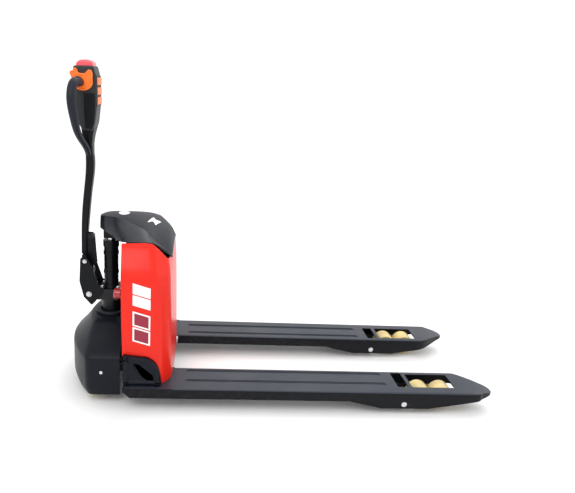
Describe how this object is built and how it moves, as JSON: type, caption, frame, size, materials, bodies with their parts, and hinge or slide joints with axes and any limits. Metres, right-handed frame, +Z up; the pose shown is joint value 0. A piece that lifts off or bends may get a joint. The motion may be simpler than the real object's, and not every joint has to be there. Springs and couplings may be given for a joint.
{
  "type": "electric pallet truck",
  "caption": "Low walk-behind electric pallet truck with two load forks on lifting tandem rollers, a boxed battery housing, a shrouded drive unit and a folding tiller with looped hand grips.",
  "frame": {"origin": "on the floor, under the middle of the truck's length and width, with the forks down", "axes": "+X towards the fork tips, +Y to the left side, +Z up"},
  "size_m": [1.5279, 0.56, 1.1334],
  "materials": {
    "battery_case": "matt moulded case",
    "belly_button": "matt red moulding",
    "bogie_steel": "grey zinc-like paint",
    "bright_steel": "turned",
    "button_orange": "matt orange moulding",
    "cast_black": "painted casting",
    "collar_rubber": "moulded bellows ring",
    "collar_yellow": "moulded ring",
    "cowl_plastic": "grained dark grey moulding",
    "cylinder_paint": "gloss black paint",
    "drive_tyre": "solid tyre",
    "fork_paint": "semi-gloss blue-black paint",
    "grip_rubber": "soft matt rubber",
    "head_plastic": "grained grey moulding",
    "heat_sink": "cast, satin",
    "hub_iron": "machined casting",
    "motor_paint": "satin paint",
    "moulding": "fine-grained black moulding with a soft sheen",
    "polyurethane": "cream polyurethane",
    "red_panel": "gloss red paint",
    "rod_chrome": "hard chrome",
    "steel_dark": "satin black paint",
    "stop_red": "gloss red moulding",
    "throttle_orange": "matt orange moulding",
    "tiller_paint": "textured black paint"
  },
  "bodies": {
    "base": {"base_frame": "steel_dark", "steering_bearing": "bright_steel", "drive_shroud": "moulding", "shroud_collar": "collar_rubber", "shroud_screws": "bright_steel"},
    "caster_left": {"caster_yoke_left": "bogie_steel"},
    "caster_right": {"caster_yoke_right": "bogie_steel"},
    "caster_roll_left": {"caster_wheel_left": "polyurethane"},
    "caster_roll_right": {"caster_wheel_right": "polyurethane"},
    "steer_head": {"steer_yoke": "cast_black", "drive_motor": "motor_paint", "head_block": "cast_black", "lift_cylinder": "cylinder_paint", "cylinder_gland": "bright_steel"},
    "drive_wheel": {"drive_hub": "hub_iron", "drive_tyre": "drive_tyre"},
    "tiller": {"knuckle": "cast_black", "knuckle_bolts": "bright_steel", "tiller_arm": "tiller_paint", "head_body": "head_plastic", "grip_left": "grip_rubber", "grip_right": "grip_rubber", "spring_bracket": "steel_dark"},
    "spring_tube": {"spring_tube": "steel_dark"},
    "spring_rod": {"spring_rod": "rod_chrome"},
    "throttle": {"throttle": "throttle_orange"},
    "belly_button": {"belly_button": "belly_button"},
    "button_upper": {"button_upper": "button_orange"},
    "button_middle": {"button_middle": "button_orange"},
    "button_lower": {"button_lower": "button_orange"},
    "chassis": {"chassis_frame": "fork_paint", "fork_left": "fork_paint", "fork_right": "fork_paint", "pivot_pins": "bright_steel", "piston_rod": "rod_chrome", "battery": "battery_case", "controller": "heat_sink", "pump_unit": "heat_sink", "side_panel_left": "red_panel", "side_panel_right": "red_panel", "front_panel": "red_panel", "cowl": "cowl_plastic", "arch_covers": "moulding", "stop_collar": "collar_yellow"},
    "stop_button": {"stop_button": "stop_red"},
    "rocker": {"rocker": "steel_dark"},
    "push_rod_left": {"push_rod_left": "steel_dark"},
    "push_rod_right": {"push_rod_right": "steel_dark"},
    "load_frame_left": {"load_frame_left": "fork_paint"},
    "load_frame_right": {"load_frame_right": "fork_paint"},
    "bogie_left": {"bogie_left": "bogie_steel"},
    "bogie_right": {"bogie_right": "bogie_steel"},
    "roller_left_rear": {"roller_left_rear": "polyurethane"},
    "roller_left_front": {"roller_left_front": "polyurethane"},
    "roller_right_rear": {"roller_right_rear": "polyurethane"},
    "roller_right_front": {"roller_right_front": "polyurethane"}
  },
  "joints": [
    {"name": "lift", "type": "slide", "parent": "base", "child": "chassis", "axis": [0, 0, 1], "range_m": [0, 0.11]},
    {"name": "steering", "type": "hinge", "parent": "base", "child": "steer_head", "pos_m": [-0.631, 0, 0], "axis": [0, 0, 1], "range_deg": [-60, 60]},
    {"name": "drive_spin", "type": "hinge", "parent": "steer_head", "child": "drive_wheel", "pos_m": [-0.631, 0, 0.1], "axis": [0, 1, 0], "continuous": true},
    {"name": "tiller_tilt", "type": "hinge", "parent": "steer_head", "child": "tiller", "pos_m": [-0.705, 0, 0.325], "axis": [0, 1, 0], "range_deg": [-80, 0]},
    {"name": "spring_tube_swing", "type": "hinge", "parent": "tiller", "child": "spring_tube", "pos_m": [-0.697, 0, 0.534], "axis": [0, 1, 0], "range_deg": [-1.41, 0.01]},
    {"name": "spring_rod_slide", "type": "slide", "parent": "spring_tube", "child": "spring_rod", "axis": [0.0207, 0, -0.9998], "range_m": [0, 0.02522]},
    {"name": "throttle_turn", "type": "hinge", "parent": "tiller", "child": "throttle", "pos_m": [-0.717, 0, 1.063], "axis": [0, 1, 0], "range_deg": [-30, 30], "stiffness_Nm_per_rad": 1},
    {"name": "belly_press", "type": "slide", "parent": "tiller", "child": "belly_button", "axis": [0, 0, -1], "range_m": [0, 0.006], "stiffness_N_per_m": 2000},
    {"name": "button_upper_press", "type": "slide", "parent": "tiller", "child": "button_upper", "axis": [-1, 0, 0], "range_m": [0, 0.003], "stiffness_N_per_m": 1500},
    {"name": "button_middle_press", "type": "slide", "parent": "tiller", "child": "button_middle", "axis": [-1, 0, 0], "range_m": [0, 0.003], "stiffness_N_per_m": 1500},
    {"name": "button_lower_press", "type": "slide", "parent": "tiller", "child": "button_lower", "axis": [-1, 0, 0], "range_m": [0, 0.003], "stiffness_N_per_m": 1500},
    {"name": "caster_swivel_left", "type": "hinge", "parent": "base", "child": "caster_left", "pos_m": [-0.648, 0.176, 0], "axis": [0, 0, 1], "continuous": true},
    {"name": "caster_roll_left", "type": "hinge", "parent": "caster_left", "child": "caster_roll_left", "pos_m": [-0.664, 0.176, 0.03], "axis": [0, 1, 0], "continuous": true},
    {"name": "caster_swivel_right", "type": "hinge", "parent": "base", "child": "caster_right", "pos_m": [-0.648, -0.176, 0], "axis": [0, 0, 1], "continuous": true},
    {"name": "caster_roll_right", "type": "hinge", "parent": "caster_right", "child": "caster_roll_right", "pos_m": [-0.664, -0.176, 0.03], "axis": [0, 1, 0], "continuous": true},
    {"name": "stop_press", "type": "slide", "parent": "chassis", "child": "stop_button", "axis": [1, 0, 0], "range_m": [0, 0.006], "stiffness_N_per_m": 2000},
    {"name": "rocker_turn", "type": "hinge", "parent": "chassis", "child": "rocker", "pos_m": [-0.451, 0, 0.104], "axis": [0, 1, 0], "range_deg": [-35.58, 0]},
    {"name": "push_rod_slide_left", "type": "slide", "parent": "chassis", "child": "push_rod_left", "axis": [1, 0, 0], "range_m": [0, 0.03034]},
    {"name": "load_frame_swing_left", "type": "hinge", "parent": "chassis", "child": "load_frame_left", "pos_m": [0.428, 0.205, 0.038], "axis": [0, 1, 0], "range_deg": [0, 65.62]},
    {"name": "bogie_pitch_left", "type": "hinge", "parent": "load_frame_left", "child": "bogie_left", "pos_m": [0.54748, 0.205, 0.04], "axis": [0, 1, 0], "range_deg": [-65.62, 0]},
    {"name": "roller_left_rear_spin", "type": "hinge", "parent": "bogie_left", "child": "roller_left_rear", "pos_m": [0.50598, 0.205, 0.04], "axis": [0, 1, 0], "continuous": true},
    {"name": "roller_left_front_spin", "type": "hinge", "parent": "bogie_left", "child": "roller_left_front", "pos_m": [0.58898, 0.205, 0.04], "axis": [0, 1, 0], "continuous": true},
    {"name": "push_rod_slide_right", "type": "slide", "parent": "chassis", "child": "push_rod_right", "axis": [1, 0, 0], "range_m": [0, 0.03034]},
    {"name": "load_frame_swing_right", "type": "hinge", "parent": "chassis", "child": "load_frame_right", "pos_m": [0.428, -0.205, 0.038], "axis": [0, 1, 0], "range_deg": [0, 65.62]},
    {"name": "bogie_pitch_right", "type": "hinge", "parent": "load_frame_right", "child": "bogie_right", "pos_m": [0.54748, -0.205, 0.04], "axis": [0, 1, 0], "range_deg": [-65.62, 0]},
    {"name": "roller_right_rear_spin", "type": "hinge", "parent": "bogie_right", "child": "roller_right_rear", "pos_m": [0.50598, -0.205, 0.04], "axis": [0, 1, 0], "continuous": true},
    {"name": "roller_right_front_spin", "type": "hinge", "parent": "bogie_right", "child": "roller_right_front", "pos_m": [0.58898, -0.205, 0.04], "axis": [0, 1, 0], "continuous": true}
  ],
  "couplings": [
    {"joint": "spring_tube_swing", "follows": "tiller_tilt", "ratio": 0.017461},
    {"joint": "spring_rod_slide", "follows": "tiller_tilt", "m_per_rad": -0.018062},
    {"joint": "rocker_turn", "follows": "lift", "rad_per_m": -5.6459},
    {"joint": "push_rod_slide_left", "follows": "lift", "ratio": 0.27584},
    {"joint": "load_frame_swing_left", "follows": "lift", "rad_per_m": 10.411},
    {"joint": "bogie_pitch_left", "follows": "lift", "rad_per_m": -10.411},
    {"joint": "push_rod_slide_right", "follows": "lift", "ratio": 0.27584},
    {"joint": "load_frame_swing_right", "follows": "lift", "rad_per_m": 10.411},
    {"joint": "bogie_pitch_right", "follows": "lift", "rad_per_m": -10.411}
  ]
}
